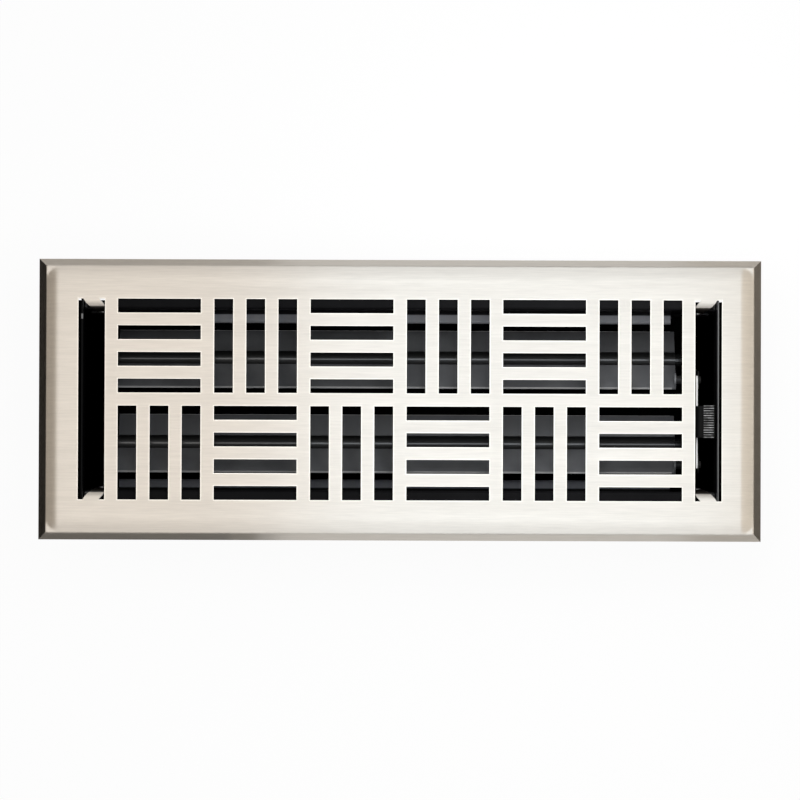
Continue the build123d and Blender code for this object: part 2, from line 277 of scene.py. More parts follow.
# Grey cards that only reflections see: sizes and places in metres, shades from 0 to 1
CARD_TINT = (1.0, 0.93, 0.84)
UPRIGHT_END = (0, 90, 0)
UPRIGHT_FRONT = (90, 0, 0)
LEVEL = (0, 0, 0)
END_CARD_GAP = 0.045
END_CARD_HEIGHT = 0.07
END_CARD_HALF = (0.07, 0.35)
LEFT_END_SHADE = 0.04
RIGHT_END_SHADE = 0.2
FRONT_CARD_GAP = 0.025
FRONT_CARD_HEIGHT = 0.04
FRONT_CARD_HALF_HEIGHT = 0.028
FRONT_CARDS = (("card_front", -0.195, -0.081, 0.04), ("card_front_end", -0.081, -0.068, 0.25))
FLOOR_CARD_Y = 0.35
FLOOR_CARD_LIFT = 0.001
LEFT_FLOOR_X = -0.33
LEFT_FLOOR_HALF = (0.27, 0.26)
LEFT_FLOOR_SHADES = {"front": 0.04, "rear": 0.5}
RIGHT_FLOOR_X = 0.36
RIGHT_FLOOR_HALF = (0.22, 0.26)
RIGHT_FLOOR_SHADE = 0.65

# Long soft lamp above, in metres: each section's name, ends in x, radiance and colour
LAMP_HEIGHT = 0.5
LAMP_DEPTH = 0.44
LAMP_SECTIONS = (
    ("lamp_left_end", -0.4, -0.25, 0.7, (1.0, 0.9, 0.78)),
    ("lamp_left", -0.25, -0.056, 1.95, (1.0, 0.98, 0.96)),
    ("lamp_right", -0.056, 0.2, 2.85, (0.87, 0.935, 1.0)),
    ("lamp_right_end", 0.2, 0.4, 1.65, (1.0, 0.95, 0.87)),
)
FILL_PLACE = (0.1, 0.08, 0.21)
FILL_SIZE = 0.16
FILL_POWER = 0.45

# Surroundings: white up to one height of the sky's unit ball, dim and warm from another
HORIZON = (0.6, 0.6, 0.6)
HORIZON_END = 0.35
ZENITH = (0.12, 0.1104, 0.0984)
ZENITH_START = 0.8


def pattern_half():
    """Half length and half width of the grille, in millimetres."""
    length = COLUMNS * BLOCK_LENGTH + (COLUMNS - 1) * COLUMN_BAR
    width = ROWS * BLOCK_WIDTH + (ROWS - 1) * ROW_BAR
    return length / 2, width / 2


def end_slot():
    """Inner and outer edge of the right end slot, in millimetres from the middle."""
    inner = pattern_half()[0] + END_STRIP
    return inner, inner + END_SLOT_WIDTH


def tab_root():
    """Inner and outer end of a right tab's root, in millimetres from the middle."""
    outer = end_slot()[1] - TAB_EDGE
    return outer - TAB_ROOT, outer


def grille_slots():
    """Rectangles (x0, x1, y0, y1) of all slots, the two end slots included."""
    half_length, half_width = pattern_half()
    lengthwise = (BLOCK_WIDTH - (LENGTHWISE_SLOTS - 1) * LENGTHWISE_BAR) / LENGTHWISE_SLOTS
    crosswise = (BLOCK_LENGTH - (CROSSWISE_SLOTS - 1) * CROSSWISE_BAR) / CROSSWISE_SLOTS
    slots = []
    for column in range(COLUMNS):
        for row in range(ROWS):
            x0 = -half_length + column * (BLOCK_LENGTH + COLUMN_BAR)
            y0 = -half_width + row * (BLOCK_WIDTH + ROW_BAR)
            if (column + row) % 2:
                for number in range(LENGTHWISE_SLOTS):
                    y = y0 + number * (lengthwise + LENGTHWISE_BAR)
                    slots.append((x0, x0 + BLOCK_LENGTH, y, y + lengthwise))
            else:
                for number in range(CROSSWISE_SLOTS):
                    x = x0 + number * (crosswise + CROSSWISE_BAR)
                    slots.append((x, x + crosswise, y0, y0 + BLOCK_WIDTH))
    inner, outer = end_slot()
    slots.append((inner, outer, -half_width, half_width))
    slots.append((-outer, -inner, -half_width, half_width))
    return slots


def edge_rows():
    """Rows from the rim inwards: (distance in, drop of the top, shift and drop of the underside)."""
    steep = math.radians(RIM_SLOPE)
    gentle = math.radians(SHOULDER_SLOPE)
    profile = []
    drop = 0.0
    for step in range(SHOULDER_STEPS + 1):
        share = step / SHOULDER_STEPS
        slope = gentle * min(share / SHOULDER_BLEND, 1.0)
        if step:
            drop += SHOULDER_RUN / SHOULDER_STEPS * math.tan((slope + profile[-1][2]) / 2)
        profile.append((SHOULDER_RUN * share, drop, slope))
    for step in range(1, BEND_STEPS + 1):
        slope = gentle + (steep - gentle) * step / BEND_STEPS
        run = BEND_RADIUS * (math.sin(slope) - math.sin(gentle))
        fall = BEND_RADIUS * (math.cos(gentle) - math.cos(slope))
        profile.append((SHOULDER_RUN + run, drop + fall, slope))
    rim_run = (PLATE_DROP - profile[-1][1]) / math.tan(steep)
    reach = profile[-1][0] + rim_run
    rows = [(0.0, PLATE_DROP, PLATE_SHEET / math.sin(steep), PLATE_DROP)]
    for place, fall, slope in reversed(profile):
        under = fall + PLATE_SHEET * math.cos(slope)
        rows.append((reach - place, fall, PLATE_SHEET * math.sin(slope), under))
    return rows


def row_at(edges, distance):
    """Edge row at a distance from the rim; further in lies the flat field."""
    for row in edges:
        if abs(distance - row[0]) < GRID_TOLERANCE:
            return row
    return (distance, 0.0, 0.0, PLATE_SHEET)


def shoulder_drop(edges, distance):
    """Drop of the shoulder at a distance inwards from its outer line."""
    rows = edges[BEND_STEPS + 1:]
    place = rows[0][0] + max(distance, 0.0)
    for near, far in zip(rows, rows[1:]):
        if place <= far[0]:
            share = (place - near[0]) / (far[0] - near[0])
            return near[1] + (far[1] - near[1]) * share
    return 0.0


def plate_lines(half, edges, cuts):
    """Grid lines along one axis: edge rows on both sides and the slots' edges between them."""
    places = set()
    for row in edges:
        places.add(round(half - row[0], GRID_DIGITS))
        places.add(round(row[0] - half, GRID_DIGITS))
    places.update(round(cut, GRID_DIGITS) for cut in cuts)
    return sorted(places)


def plate_grid(mesh, xs, ys, plate, edges):
    """Vertices of the plate's upper side and underside, by the numbers of their grid lines."""
    half_length, half_width, top = plate
    shoulder_start = edges[BEND_STEPS + 1][0]
    flat_start = edges[-1][0]
    upper, lower = {}, {}
    for i, x in enumerate(xs):
        for j, y in enumerate(ys):
            x_row = row_at(edges, half_length - abs(x))
            y_row = row_at(edges, half_width - abs(y))
            drop = max(x_row[1], y_row[1])
            under = max(x_row[3], y_row[3])
            nearer, further = sorted((x_row[0], y_row[0]))
            if shoulder_start - GRID_TOLERANCE < nearer and further < flat_start:
                corner = math.hypot(flat_start - x_row[0], flat_start - y_row[0])
                drop = shoulder_drop(edges, SHOULDER_RUN - corner)
                under = drop + PLATE_SHEET
            under_x = math.copysign(abs(x) - x_row[2], x)
            under_y = math.copysign(abs(y) - y_row[2], y)
            upper[i, j] = mesh.verts.new((x * MM, y * MM, (top - drop) * MM))
            lower[i, j] = mesh.verts.new((under_x * MM, under_y * MM, (top - under) * MM))
    return upper, lower


def beside_slot(x, y, slots):
    """True on the narrow band round a slot that stamping has burnished, but not at a tab's root."""
    root_inner, root_outer = tab_root()
    if root_inner < abs(x) < root_outer and abs(y) > pattern_half()[1]:
        return False
    reach = EDGE_BURNISH
    return any(x0 - reach < x < x1 + reach and y0 - reach < y < y1 + reach for x0, x1, y0, y1 in slots)


def plate_cells(xs, ys, plate, edges):
    """Rings of grid points that the plate's faces join, each with its finish; mitres are split."""
    half_length, half_width, _ = plate
    shoulder_start = edges[BEND_STEPS + 1][0]
    slots = grille_slots()
    cells = []
    for i in range(len(xs) - 1):
        for j in range(len(ys) - 1):
            x = (xs[i] + xs[i + 1]) / 2
            y = (ys[j] + ys[j + 1]) / 2
            if any(x0 < x < x1 and y0 < y < y1 for x0, x1, y0, y1 in slots):
                continue
            ring = [(i, j), (i + 1, j), (i + 1, j + 1), (i, j + 1)]
            from_end = half_length - abs(x)
            from_side = half_width - abs(y)
            if abs(from_end - from_side) < GRID_TOLERANCE and from_end < shoulder_start:
                start = 0 if x * y > 0 else 1
                ring = ring[start:] + ring[:start]
                cells.append(([ring[0], ring[1], ring[2]], SATIN))
                cells.append(([ring[0], ring[2], ring[3]], SATIN))
            else:
                cells.append((ring, BURNISHED if beside_slot(x, y, slots) else SATIN))
    return cells


def tab_faces(mesh, root_points, sides, top, bottom):
    """Faces of one tab, bent down from its root points and then straight to its tip."""
    x_side, y_side = sides
    root_inner, root_outer = tab_root()
    tip_outer = root_outer - TAB_LEAN
    tip_inner = tip_outer - TAB_TIP
    slot_half_width = pattern_half()[1]
    outer_radius = TAB_SETBACK + PLATE_SHEET
    bend_height = top - outer_radius
    faces = []
    previous = root_points
    for step in range(1, TAB_BEND_STEPS + TAB_DROP_STEPS + 1):
        turn = math.radians(90) * min(step, TAB_BEND_STEPS) / TAB_BEND_STEPS
        fall = max(step - TAB_BEND_STEPS, 0) / TAB_DROP_STEPS * (bend_height - bottom)
        lean = math.sin(turn)
        inner_x = root_inner + (tip_inner - root_inner) * lean
        outer_x = root_outer + (tip_outer - root_outer) * lean + TAB_BULGE * math.sin(math.pi * lean)
        current = []
        for number in range(TAB_CROSS_STEPS + 1):
            x = inner_x + (outer_x - inner_x) * number / TAB_CROSS_STEPS
            pair = []
            for radius in (outer_radius, TAB_SETBACK):
                y = slot_half_width - radius * math.sin(turn)
                z = bend_height + radius * math.cos(turn) - fall
                pair.append(mesh.verts.new((x_side * x * MM, y_side * y * MM, z * MM)))
            current.append(pair)
        finish = SATIN if step <= TAB_SATIN_STEPS else BURNISHED
        for number in range(TAB_CROSS_STEPS):
            ring = [previous[number], current[number], current[number + 1], previous[number + 1]]
            if x_side * y_side < 0:
                ring.reverse()
            faces.append(([pair[0] for pair in ring], [pair[1] for pair in ring], finish))
        previous = current
    return faces


def close_sheet(mesh, faces):
    """Upper and lower faces, with walls along all open edges between them; returns the upper faces."""
    under_of = {}
    for upper_ring, lower_ring, finish in faces:
        mesh.faces.new(upper_ring).material_index = finish
        under_of.update(zip(upper_ring, lower_ring))
    upper_faces = set(mesh.faces)
    walls = []
    for edge in mesh.edges:
        if edge.is_boundary:
            loop = edge.link_loops[0]
            first, second = loop.vert, loop.link_loop_next.vert
            walls.append((second, first, under_of[first], under_of[second]))
    for upper_ring, lower_ring, finish in faces:
        mesh.faces.new(list(reversed(lower_ring))).material_index = finish
    for ring in walls:
        mesh.faces.new(ring).material_index = BURNISHED
    bmesh.ops.delete(mesh, geom=[vert for vert in mesh.verts if not vert.link_faces], context="VERTS")
    return upper_faces


def mark_edges(mesh, upper_faces, top):
    """Bevel weights of the plate's sharp edges: full on the face, less below and at the rim's foot."""
    weight = mesh.edges.layers.float.new("bevel_weight_edge")
    rim_foot = (top - PLATE_DROP + PLATE_SHEET / 2) * MM
    rim_x = (end_slot()[1] + RIM_MARGIN) * MM
    rim_y = (pattern_half()[1] + RIM_MARGIN) * MM
    for edge in mesh.edges:
        if len(edge.link_faces) != 2 or edge.calc_face_angle() < math.radians(SHARP_ANGLE):
            continue
        at_side = all(vert.co.z < rim_foot and abs(vert.co.y) > rim_y for vert in edge.verts)
        at_end = all(vert.co.z < rim_foot and abs(vert.co.x) > rim_x for vert in edge.verts)
        if at_side or at_end:
            edge[weight] = RIM_FOOT_SHARE
        elif upper_faces.intersection(edge.link_faces):
            edge[weight] = FACE_SHARE
        else:
            edge[weight] = UNDERSIDE_SHARE


def build_faceplate():
    """The stamped plate as one closed mesh: rim, soft shoulder, slots and bent tabs."""
    low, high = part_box("faceplate")
    half_length = (high.x - low.x) / 2 / MM
    half_width = (high.y - low.y) / 2 / MM
    top = high.z / MM
    plate = (half_length, half_width, top)
    edges = edge_rows()
    root_inner = tab_root()[0]
    tab_lines = [root_inner + TAB_ROOT * step / TAB_CROSS_STEPS for step in range(TAB_CROSS_STEPS + 1)]
    x_cuts = tab_lines + [-x for x in tab_lines]
    y_cuts = []
    for x0, x1, y0, y1 in grille_slots():
        x_cuts += [x0 - EDGE_BURNISH, x0, x1, x1 + EDGE_BURNISH]
        y_cuts += [y0 - EDGE_BURNISH, y0, y1, y1 + EDGE_BURNISH]
    xs = plate_lines(half_length, edges, x_cuts)
    ys = plate_lines(half_width, edges, y_cuts)

    mesh = bmesh.new()
    upper, lower = plate_grid(mesh, xs, ys, plate, edges)
    faces = []
    for ring, finish in plate_cells(xs, ys, plate, edges):
        faces.append(([upper[key] for key in ring], [lower[key] for key in ring], finish))
    for x_side in (-1, 1):
        columns = [xs.index(round(x_side * x, GRID_DIGITS)) for x in tab_lines]
        for y_side in (-1, 1):
            end_line = ys.index(round(y_side * pattern_half()[1], GRID_DIGITS))
            root_points = [(upper[i, end_line], lower[i, end_line]) for i in columns]
            faces += tab_faces(mesh, root_points, (x_side, y_side), top, low.z / MM)
    mark_edges(mesh, close_sheet(mesh, faces), top)
    return mesh


def rivet_profile(far, way):
    """Places (radius, y) along a tab rivet, from its dome to its tail; way is the side it lies on."""
    radius = RIVET_HEAD / 2 * MM
    shank = RIVET_SHANK / 2 * MM
    height = RIVET_HEIGHT * MM
    seat = far - way * (PLATE_SHEET + BOX_SHEET) * MM
    profile = [(0.0, seat - way * height)]
    for step in range(1, RIVET_DOME_STEPS + 1):
        turn = math.radians(90) * step / RIVET_DOME_STEPS
        profile.append((radius * math.sin(turn), seat - way * height * math.cos(turn)))
    return profile + [(shank, seat), (shank, far), (0.0, far)]


def spin_profile(mesh, x, z, profile):
    """Closed round body about a line along Y, from a profile that starts and ends on that line."""
    rings = []
    for reach, y in profile:
        if reach == 0.0:
            rings.append([mesh.verts.new((x, y, z))])
            continue
        ring = []
        for side in range(RIVET_SIDES):
            angle = 2 * math.pi * side / RIVET_SIDES
            ring.append(mesh.verts.new((x + reach * math.cos(angle), y, z + reach * math.sin(angle))))
        rings.append(ring)
    for first, second in zip(rings, rings[1:]):
        for side in range(RIVET_SIDES):
            after = (side + 1) % RIVET_SIDES
            if len(first) == 1:
                mesh.faces.new((first[0], second[after], second[side]))
            elif len(second) == 1:
                mesh.faces.new((first[side], first[after], second[0]))
            else:
                mesh.faces.new((first[side], first[after], second[after], second[side]))


def build_tab_rivets():
    """Domed rivet heads on the tabs, with their shanks."""
    low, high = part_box("tab_rivets")
    z = (low.z + high.z) / 2
    radius = RIVET_HEAD / 2 * MM
    mesh = bmesh.new()
    for x in (low.x + radius, high.x - radius):
        for way, far in ((1, high.y), (-1, low.y)):
            spin_profile(mesh, x, z, rivet_profile(far, way))
    bmesh.ops.recalc_face_normals(mesh, faces=mesh.faces)
    return mesh


def rounded_fall(radius, distance):
    """Fall of a rounded edge at a distance inwards from its end, in metres."""
    past = max(0.0, radius - distance)
    return radius - math.sqrt(max(radius ** 2 - past ** 2, 0.0))


def rib_height(phase):
    """Height of a rib at a place within its pitch, as a share; valleys are flat."""
    if not RIB_VALLEY < phase < 1.0 - RIB_VALLEY:
        return 0.0
    share = (phase - RIB_VALLEY) / (1.0 - 2.0 * RIB_VALLEY)
    return math.sqrt(max(math.sin(math.pi * share), 0.0))


def build_grip():
    """Thumb grip: rounded ribs across the travel, a rounded nose and soft ends, as one closed block."""
    low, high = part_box("thumb_grip")
    length = high.x - low.x
    width = high.y - low.y
    crown = high.z - GRIP_RIB * MM
    across = GRIP_RIBS * GRIP_RIB_STEPS
    mesh = bmesh.new()
    rows = []
    for i in range(GRIP_LENGTH_STEPS + 1):
        x = low.x + length * i / GRIP_LENGTH_STEPS
        sunk = max(rounded_fall(GRIP_NOSE * MM, high.x - x), rounded_fall(GRIP_SOFT * MM, x - low.x))
        row = []
        for j in range(across + 1):
            y = low.y + width * j / across
            end_sunk = rounded_fall(GRIP_SOFT * MM, min(y - low.y, high.y - y))
            rib = GRIP_RIB * MM * rib_height((j % GRIP_RIB_STEPS) / GRIP_RIB_STEPS)
            row.append(mesh.verts.new((x, y, crown + rib - max(sunk, end_sunk))))
        rows.append(row)
    for i in range(GRIP_LENGTH_STEPS):
        for j in range(across):
            mesh.faces.new((rows[i][j], rows[i + 1][j], rows[i + 1][j + 1], rows[i][j + 1]))
    rim = [edge for edge in mesh.edges if edge.is_boundary]
    made = bmesh.ops.extrude_edge_only(mesh, edges=rim)["geom"]
    for vert in made:
        if isinstance(vert, bmesh.types.BMVert):
            vert.co.z = low.z
    foot = [edge for edge in made if isinstance(edge, bmesh.types.BMEdge) and edge.is_boundary]
    bmesh.ops.edgeloop_fill(mesh, edges=foot)
    bmesh.ops.recalc_face_normals(mesh, faces=mesh.faces)
    return mesh


def add_object(name, data):
    """New object in the scene, from a mesh, a light or a camera."""
    made = bpy.data.objects.new(name, data)
    bpy.context.scene.collection.objects.link(made)
    return made


def finished_object(name, mesh, rounding, steps, finishes):
    """Object from a mesh with its marked or sharp edges rounded, in smooth shading."""
    marked = mesh.edges.layers.float.get("bevel_weight_edge") is not None
    data = bpy.data.meshes.new(name)
    mesh.to_mesh(data)
    mesh.free()
    for finish in finishes:
        data.materials.append(finish)
    for polygon in data.polygons:
        polygon.use_smooth = True
    raw = add_object(name + "_raw", data)
    bevel = raw.modifiers.new("rounding", "BEVEL")
    bevel.width = rounding * MM
    bevel.segments = steps
    bevel.limit_method = "WEIGHT" if marked else "ANGLE"
    bevel.angle_limit = math.radians(SHARP_ANGLE)
    bevel.use_clamp_overlap = True
    bevel.material = len(finishes) - 1
    weighted = raw.modifiers.new("even_shading", "WEIGHTED_NORMAL")
    weighted.keep_sharp = True
    bpy.context.view_layer.update()
    evaluated = raw.evaluated_get(bpy.context.evaluated_depsgraph_get())
    final = bpy.data.meshes.new_from_object(evaluated)
    final.name = name
    for vertex in final.vertices:
        vertex.co.z = min(vertex.co.z, cad_high.z)
    bpy.data.objects.remove(raw)
    return add_object(name, final)


def brush_map(piece):
    """UV map whose first axis runs across the brushing, which is along X."""
    layer = piece.data.uv_layers.new(name="brush")
    for loop in piece.data.loops:
        place = piece.data.vertices[loop.vertex_index].co
        layer.data[loop.index].uv = (place.y, -place.x)


def new_material(name):
    """Material with a plain shader; returns it, its node tree and the shader."""
    material = bpy.data.materials.new(name)
    material.use_nodes = True
    tree = material.node_tree
    return material, tree, tree.nodes["Principled BSDF"]


def stretched_noise(tree, scale, detail):
    """Noise over the object's own space, stretched by three scales."""
    place = tree.nodes.new("ShaderNodeTexCoord")
    mapping = tree.nodes.new("ShaderNodeMapping")
    mapping.inputs["Scale"].default_value = scale
    noise = tree.nodes.new("ShaderNodeTexNoise")
    noise.inputs["Scale"].default_value = 1.0
    noise.inputs["Detail"].default_value = detail
    noise.inputs["Roughness"].default_value = NOISE_ROUGHNESS
    tree.links.new(place.outputs["Object"], mapping.inputs["Vector"])
    tree.links.new(mapping.outputs["Vector"], noise.inputs["Vector"])
    return noise.outputs["Fac"]


def ramp(tree, source, stops):
    """Colour ramp over a value: stops are (place, colour)."""
    node = tree.nodes.new("ShaderNodeValToRGB")
    elements = node.color_ramp.elements
    while len(elements) < len(stops):
        elements.new(0.5)
    for element, (place, colour) in zip(elements, stops):
        element.position = place
        element.color = (*colour, 1.0)
    tree.links.new(source, node.inputs["Fac"])
    return node.outputs["Color"]


def scaled(colour, factor):
    """Colour made lighter or darker."""
    return tuple(min(channel * factor, 1.0) for channel in colour)


def shaded(tree, noise, colour, shades):
    """Colour that follows a noise from a darker to a lighter shade of itself."""
    dark, light = (scaled(colour, shade) for shade in shades)
    stops = [(NOISE_LOW, dark), (NOISE_MIDDLE, colour), (NOISE_HIGH, light)]
    return ramp(tree, noise, stops)


def map_range(tree, source, from_limits, to_limits):
    """Value moved from one range to another and kept within it."""
    node = tree.nodes.new("ShaderNodeMapRange")
    node.inputs["From Min"].default_value = from_limits[0]
    node.inputs["From Max"].default_value = from_limits[1]
    node.inputs["To Min"].default_value = to_limits[0]
    node.inputs["To Max"].default_value = to_limits[1]
    tree.links.new(source, node.inputs["Value"])
    return node.outputs["Result"]


def spread(tree, noise, limits):
    """Value within two limits that follows a noise between its usual levels."""
    return map_range(tree, noise, (NOISE_LOW, NOISE_HIGH), limits)


def bump(tree, source, depth, strength):
    """Bump from a height value; its depth is in millimetres."""
    node = tree.nodes.new("ShaderNodeBump")
    node.inputs["Distance"].default_value = depth * MM
    node.inputs["Strength"].default_value = strength
    tree.links.new(source, node.inputs["Height"])
    return node.outputs["Normal"]


def math_node(tree, operation, *sources):
    """Result of a sum on one or two values."""
    node = tree.nodes.new("ShaderNodeMath")
    node.operation = operation
    for source, socket in zip(sources, node.inputs):
        tree.links.new(source, socket)
    return node.outputs["Value"]


def place_parts(tree):
    """Coordinates in the object's own space, as separate values."""
    place = tree.nodes.new("ShaderNodeTexCoord")
    parts = tree.nodes.new("ShaderNodeSeparateXYZ")
    tree.links.new(place.outputs["Object"], parts.inputs["Vector"])
    return parts.outputs


def edge_mask(tree, value, zero, one):
    """0 at one value and 1 at another, both in millimetres, and even beyond them."""
    return map_range(tree, value, (zero * MM, one * MM), (0.0, 1.0))


def band_mask(tree, axis, limits, fade):
    """1 between two places along an axis of the object's own space, 0 outside."""
    value = place_parts(tree)[axis]
    low, high = limits
    rise = edge_mask(tree, value, low, low + fade)
    fall = edge_mask(tree, value, high, high - fade)
    return math_node(tree, "MULTIPLY", rise, fall)


def ring_mask(tree, limits):
    """0 at one distance from the blades' axes and 1 at another, and even beyond them."""
    parts = place_parts(tree)
    section = tree.nodes.new("ShaderNodeCombineXYZ")
    tree.links.new(math_node(tree, "ABSOLUTE", parts["Y"]), section.inputs["Y"])
    tree.links.new(parts["Z"], section.inputs["Z"])
    reach = tree.nodes.new("ShaderNodeVectorMath")
    reach.operation = "DISTANCE"
    reach.inputs[1].default_value = (0.0, PIVOT_Y * MM, PIVOT_Z * MM)
    tree.links.new(section.outputs["Vector"], reach.inputs[0])
    return edge_mask(tree, reach.outputs["Value"], *limits)


def relook(material, look, *masks):
    """Gives a material another colour and roughness where all masks are 1."""
    colour, roughness = look
    tree = material.node_tree
    shader = tree.nodes["Principled BSDF"]
    mask = masks[0]
    for other in masks[1:]:
        mask = math_node(tree, "MULTIPLY", mask, other)
    changes = (("Base Color", "RGBA", "RGBA", (*colour, 1.0)), ("Roughness", "FLOAT", "VALUE", roughness))
    for name, data_type, kind, value in changes:
        socket = shader.inputs[name]
        source = socket.links[0].from_socket
        blend = tree.nodes.new("ShaderNodeMix")
        blend.data_type = data_type
        inputs = [item for item in blend.inputs if item.type == kind and item.name in ("A", "B")]
        output = [item for item in blend.outputs if item.type == kind][0]
        tree.links.new(mask, blend.inputs["Factor"])
        tree.links.new(source, inputs[0])
        inputs[1].default_value = value
        tree.links.new(output, socket)


def brushed_nickel():
    """Satin nickel, brushed along X: fine scratches in colour, gloss and height."""
    material, tree, shader = new_material("satin_nickel")
    streaks = stretched_noise(tree, STREAK_SCALE, STREAK_DETAIL)
    bands = stretched_noise(tree, BAND_SCALE, BAND_DETAIL)
    tree.links.new(shaded(tree, streaks, NICKEL, NICKEL_SHADES), shader.inputs["Base Color"])
    tree.links.new(spread(tree, bands, NICKEL_ROUGHNESS), shader.inputs["Roughness"])
    tree.links.new(bump(tree, streaks, STREAK_DEPTH, STREAK_STRENGTH), shader.inputs["Normal"])
    tangent = tree.nodes.new("ShaderNodeTangent")
    tangent.direction_type = "UV_MAP"
    tangent.uv_map = "brush"
    tree.links.new(tangent.outputs["Tangent"], shader.inputs["Tangent"])
    shader.inputs["Metallic"].default_value = 1.0
    shader.inputs["Anisotropic"].default_value = NICKEL_ANISOTROPY
    return material


def burnished_nickel():
    """Nickel that stamping has pressed smooth, at the slots' edges; below the face, most on the tabs' bends,
    it is darkened, a painted shade.
    """
    material, tree, shader = new_material("burnished_nickel")
    marks = stretched_noise(tree, PRESSED_SCALE, PRESSED_DETAIL)
    tree.links.new(shaded(tree, marks, PRESSED_NICKEL, PRESSED_SHADES), shader.inputs["Base Color"])
    tree.links.new(spread(tree, marks, PRESSED_ROUGHNESS), shader.inputs["Roughness"])
    shader.inputs["Metallic"].default_value = 1.0
    relook(material, TAB_PAINTED_SHADE, band_mask(tree, "Z", (0.0, cad_high.z / MM), TAB_SHADE_FADE))
    return material


def plated_steel():
    """Zinc-plated steel of small hardware, with drawn marks along X."""
    material, tree, shader = new_material("bright_zinc")
    marks = stretched_noise(tree, ZINC_SCALE, ZINC_DETAIL)
    tree.links.new(shaded(tree, marks, ZINC, ZINC_SHADES), shader.inputs["Base Color"])
    tree.links.new(spread(tree, marks, ZINC_ROUGHNESS), shader.inputs["Roughness"])
    shader.inputs["Metallic"].default_value = 1.0
    return material


def enamel(name, paint):
    """Black stoved paint: faint mottling, a slight orange peel and uneven gloss."""
    colour, roughness, specular = paint
    material, tree, shader = new_material(name)
    mottle = stretched_noise(tree, MOTTLE_SCALE, MOTTLE_DETAIL)
    peel = stretched_noise(tree, PEEL_SCALE, PEEL_DETAIL)
    limits = (roughness - PAINT_ROUGHNESS_RANGE, roughness + PAINT_ROUGHNESS_RANGE)
    tree.links.new(shaded(tree, mottle, colour, MOTTLE_SHADES), shader.inputs["Base Color"])
    tree.links.new(spread(tree, mottle, limits), shader.inputs["Roughness"])
    tree.links.new(bump(tree, peel, PEEL_DEPTH, PEEL_STRENGTH), shader.inputs["Normal"])
    shader.inputs["Specular IOR Level"].default_value = specular
    return material


def wall_enamel():
    """Paint of the side walls, darker than the box's as painted shade; their pressed stops are lighter, worn
    by the blades and partly a painted highlight, the rear stop lighter still as painted light, and the
    stops' noses lightest, a painted highlight.
    """
    material = enamel("wall_enamel", WALL_SHADED_PAINT)
    tree = material.node_tree
    height = band_mask(tree, "Z", STOP_HEIGHTS, STOP_HEIGHT_FADE)
    both_stops = band_mask(tree, "Y", (-STOP_INSIDE, STOP_INSIDE), STOP_SIDE_FADE)
    rear_stop = band_mask(tree, "Y", (REAR_STOP_START, STOP_INSIDE), STOP_SIDE_FADE)
    noses = band_mask(tree, "Y", (-NOSE_INSIDE, NOSE_INSIDE), SOFT_FADE)
    # Painted light on the stops and their noses, with the blades' wear on the stops
    relook(material, STOP_WEAR_AND_HIGHLIGHT, height, both_stops)
    relook(material, REAR_STOP_PAINTED_LIGHT, height, rear_stop)
    relook(material, NOSE_PAINTED_HIGHLIGHT, height, noses)
    return material


def right_end_enamel():
    """Paint of the right end wall, lightened along the outside of its top edge as a painted highlight."""
    material = enamel("end_wall_enamel", RIGHT_END_PAINT)
    tree = material.node_tree
    top = band_mask(tree, "Z", END_WALL_TOP, THIN_FADE)
    outside = band_mask(tree, "X", RIGHT_END_OUTSIDE, THIN_FADE)
    # Painted highlight along the top edge
    relook(material, RIGHT_END_PAINTED_HIGHLIGHT, top, outside)
    return material


def left_end_enamel():
    """Dull paint of the left end wall, darkened as painted shade, with one small painted glint on its top
    edge.
    """
    material = enamel("left_end_shaded_enamel", LEFT_END_SHADED_PAINT)
    tree = material.node_tree
    top = band_mask(tree, "Z", END_WALL_TOP, THIN_FADE)
    glint = band_mask(tree, "Y", LEFT_GLINT_WIDTH, LEFT_GLINT_FADE)
    # Painted glint on the top edge
    relook(material, LEFT_END_PAINTED_GLINT, top, glint)
    return material


def blade_enamel():
    """Paint of the blades: painted highlights on the cut edges and fold lines, the lower half of the front
    blade lighter as painted light, and a matt bead darkened as painted shade, with a glossy crest.
    """
    material = enamel("blade_enamel", BLADE_PAINT)
    tree = material.node_tree
    lower_half = band_mask(tree, "Z", (0.0, PIVOT_Z), SOFT_FADE)
    front = band_mask(tree, "Y", FRONT_SIDE, SOFT_FADE)
    # Painted light on the front blade's lower half
    relook(material, FRONT_BLADE_PAINTED_LIGHT, lower_half, front)
    length = band_mask(tree, "X", CUT_LENGTH, CUT_LENGTH_FADE)
    # Painted highlights on the cut edges and folds
    relook(material, CUT_EDGE_PAINTED_HIGHLIGHT, ring_mask(tree, CUT_RING), length)
    relook(material, FOLD_PAINTED_HIGHLIGHT, lower_half, ring_mask(tree, FOLD_RING))
    # Painted shade on the bead
    relook(material, MATT_BEAD_PAINTED_SHADE, ring_mask(tree, BEAD_RING))
    crest = band_mask(tree, "Z", [PIVOT_Z + rise for rise in CREST_RISE], CREST_FADE)
    relook(material, GLOSSY_CREST, crest, ring_mask(tree, CREST_RING))
    return material


def link_enamel():
    """Paint of the link bar, lightened to white along its top edge: rubbed bare and partly a painted
    highlight.
    """
    material = enamel("link_enamel", LINK_PAINT)
    tree = material.node_tree
    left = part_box("link_bar")[0].x / MM
    top = band_mask(tree, "Z", LINK_TOP, THIN_FADE)
    edge = band_mask(tree, "X", [left + width for width in LINK_EDGE_WIDTH], THIN_FADE)
    # Wear and painted highlight along the top edge
    relook(material, LINK_EDGE_WEAR_AND_HIGHLIGHT, top, edge)
    return material


